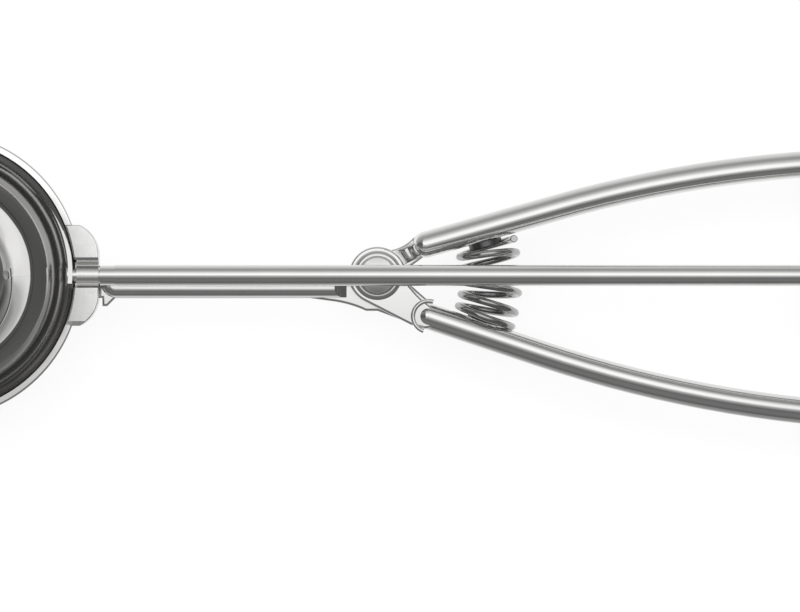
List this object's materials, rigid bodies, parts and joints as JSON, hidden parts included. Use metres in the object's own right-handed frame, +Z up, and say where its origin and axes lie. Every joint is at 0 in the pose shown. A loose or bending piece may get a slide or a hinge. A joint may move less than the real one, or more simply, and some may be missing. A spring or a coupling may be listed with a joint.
{
  "type": "lever ice cream scoop",
  "caption": "Ice cream scoop with a round bowl and sprung squeeze handles; a toothed rack turns the long rod, which sweeps a thin scraper band across the bowl.",
  "frame": {"origin": "centre of the bowl's spherical hollow, on the rod's axis", "axes": "+X along the rod from the bowl to the handles, +Z up out of the bowl's mouth, +Y towards the moving handle"},
  "size_m": [0.2189, 0.0577, 0.0327],
  "materials": {
    "mirror_bowl": "mirror polished stainless steel, inside and out",
    "mirror_blade": "mirror polished stainless strip",
    "polished_handle": "polished stainless steel with fine lengthwise lines",
    "polished_rod": "drawn and polished stainless rod",
    "polished_plate": "polished stainless plate with rounded edges",
    "satin_steel": "satin stainless steel",
    "rivet_steel": "polished stainless rivet heads",
    "spring_wire": "bright drawn spring wire"
  },
  "bodies": {
    "scoop_frame": {"bowl": "mirror_bowl", "neck_bracket": "satin_steel", "neck_bush": "satin_steel", "stem_arm": "polished_plate", "lower_handle": "polished_handle", "pivot_rivet": "rivet_steel", "pivot_washer": "satin_steel", "tip_pivot_pin": "rivet_steel", "lower_spring_peg": "satin_steel", "rear_bracket": "polished_plate", "rear_bracket_rivets": "rivet_steel", "rear_bush": "satin_steel", "return_spring": "spring_wire"},
    "squeeze_handle": {"upper_handle": "polished_handle", "upper_spring_peg": "satin_steel", "gear_rack": "polished_plate", "rack_rivets": "rivet_steel"},
    "scraper": {"scraper_blade": "mirror_blade", "scraper_shaft": "polished_rod", "drive_rod": "polished_rod", "drive_pinion": "satin_steel", "pinion_pin": "rivet_steel", "rod_end_clip": "spring_wire"}
  },
  "joints": [
    {"name": "handle_squeeze", "type": "hinge", "parent": "scoop_frame", "child": "squeeze_handle", "pos_m": [0.0837, 0, -0.006], "axis": [0, 0, -1], "range_deg": [0, 8.5], "stiffness_Nm_per_rad": 2, "springref_deg": -8.59, "deforming": ["return_spring"]},
    {"name": "scraper_turn", "type": "hinge", "parent": "scoop_frame", "child": "scraper", "pos_m": [0, 0, 0], "axis": [-1, 0, 0], "range_deg": [0, 156]}
  ],
  "couplings": [
    {"joint": "scraper_turn", "follows": "handle_squeeze", "ratio": 18.3}
  ]
}
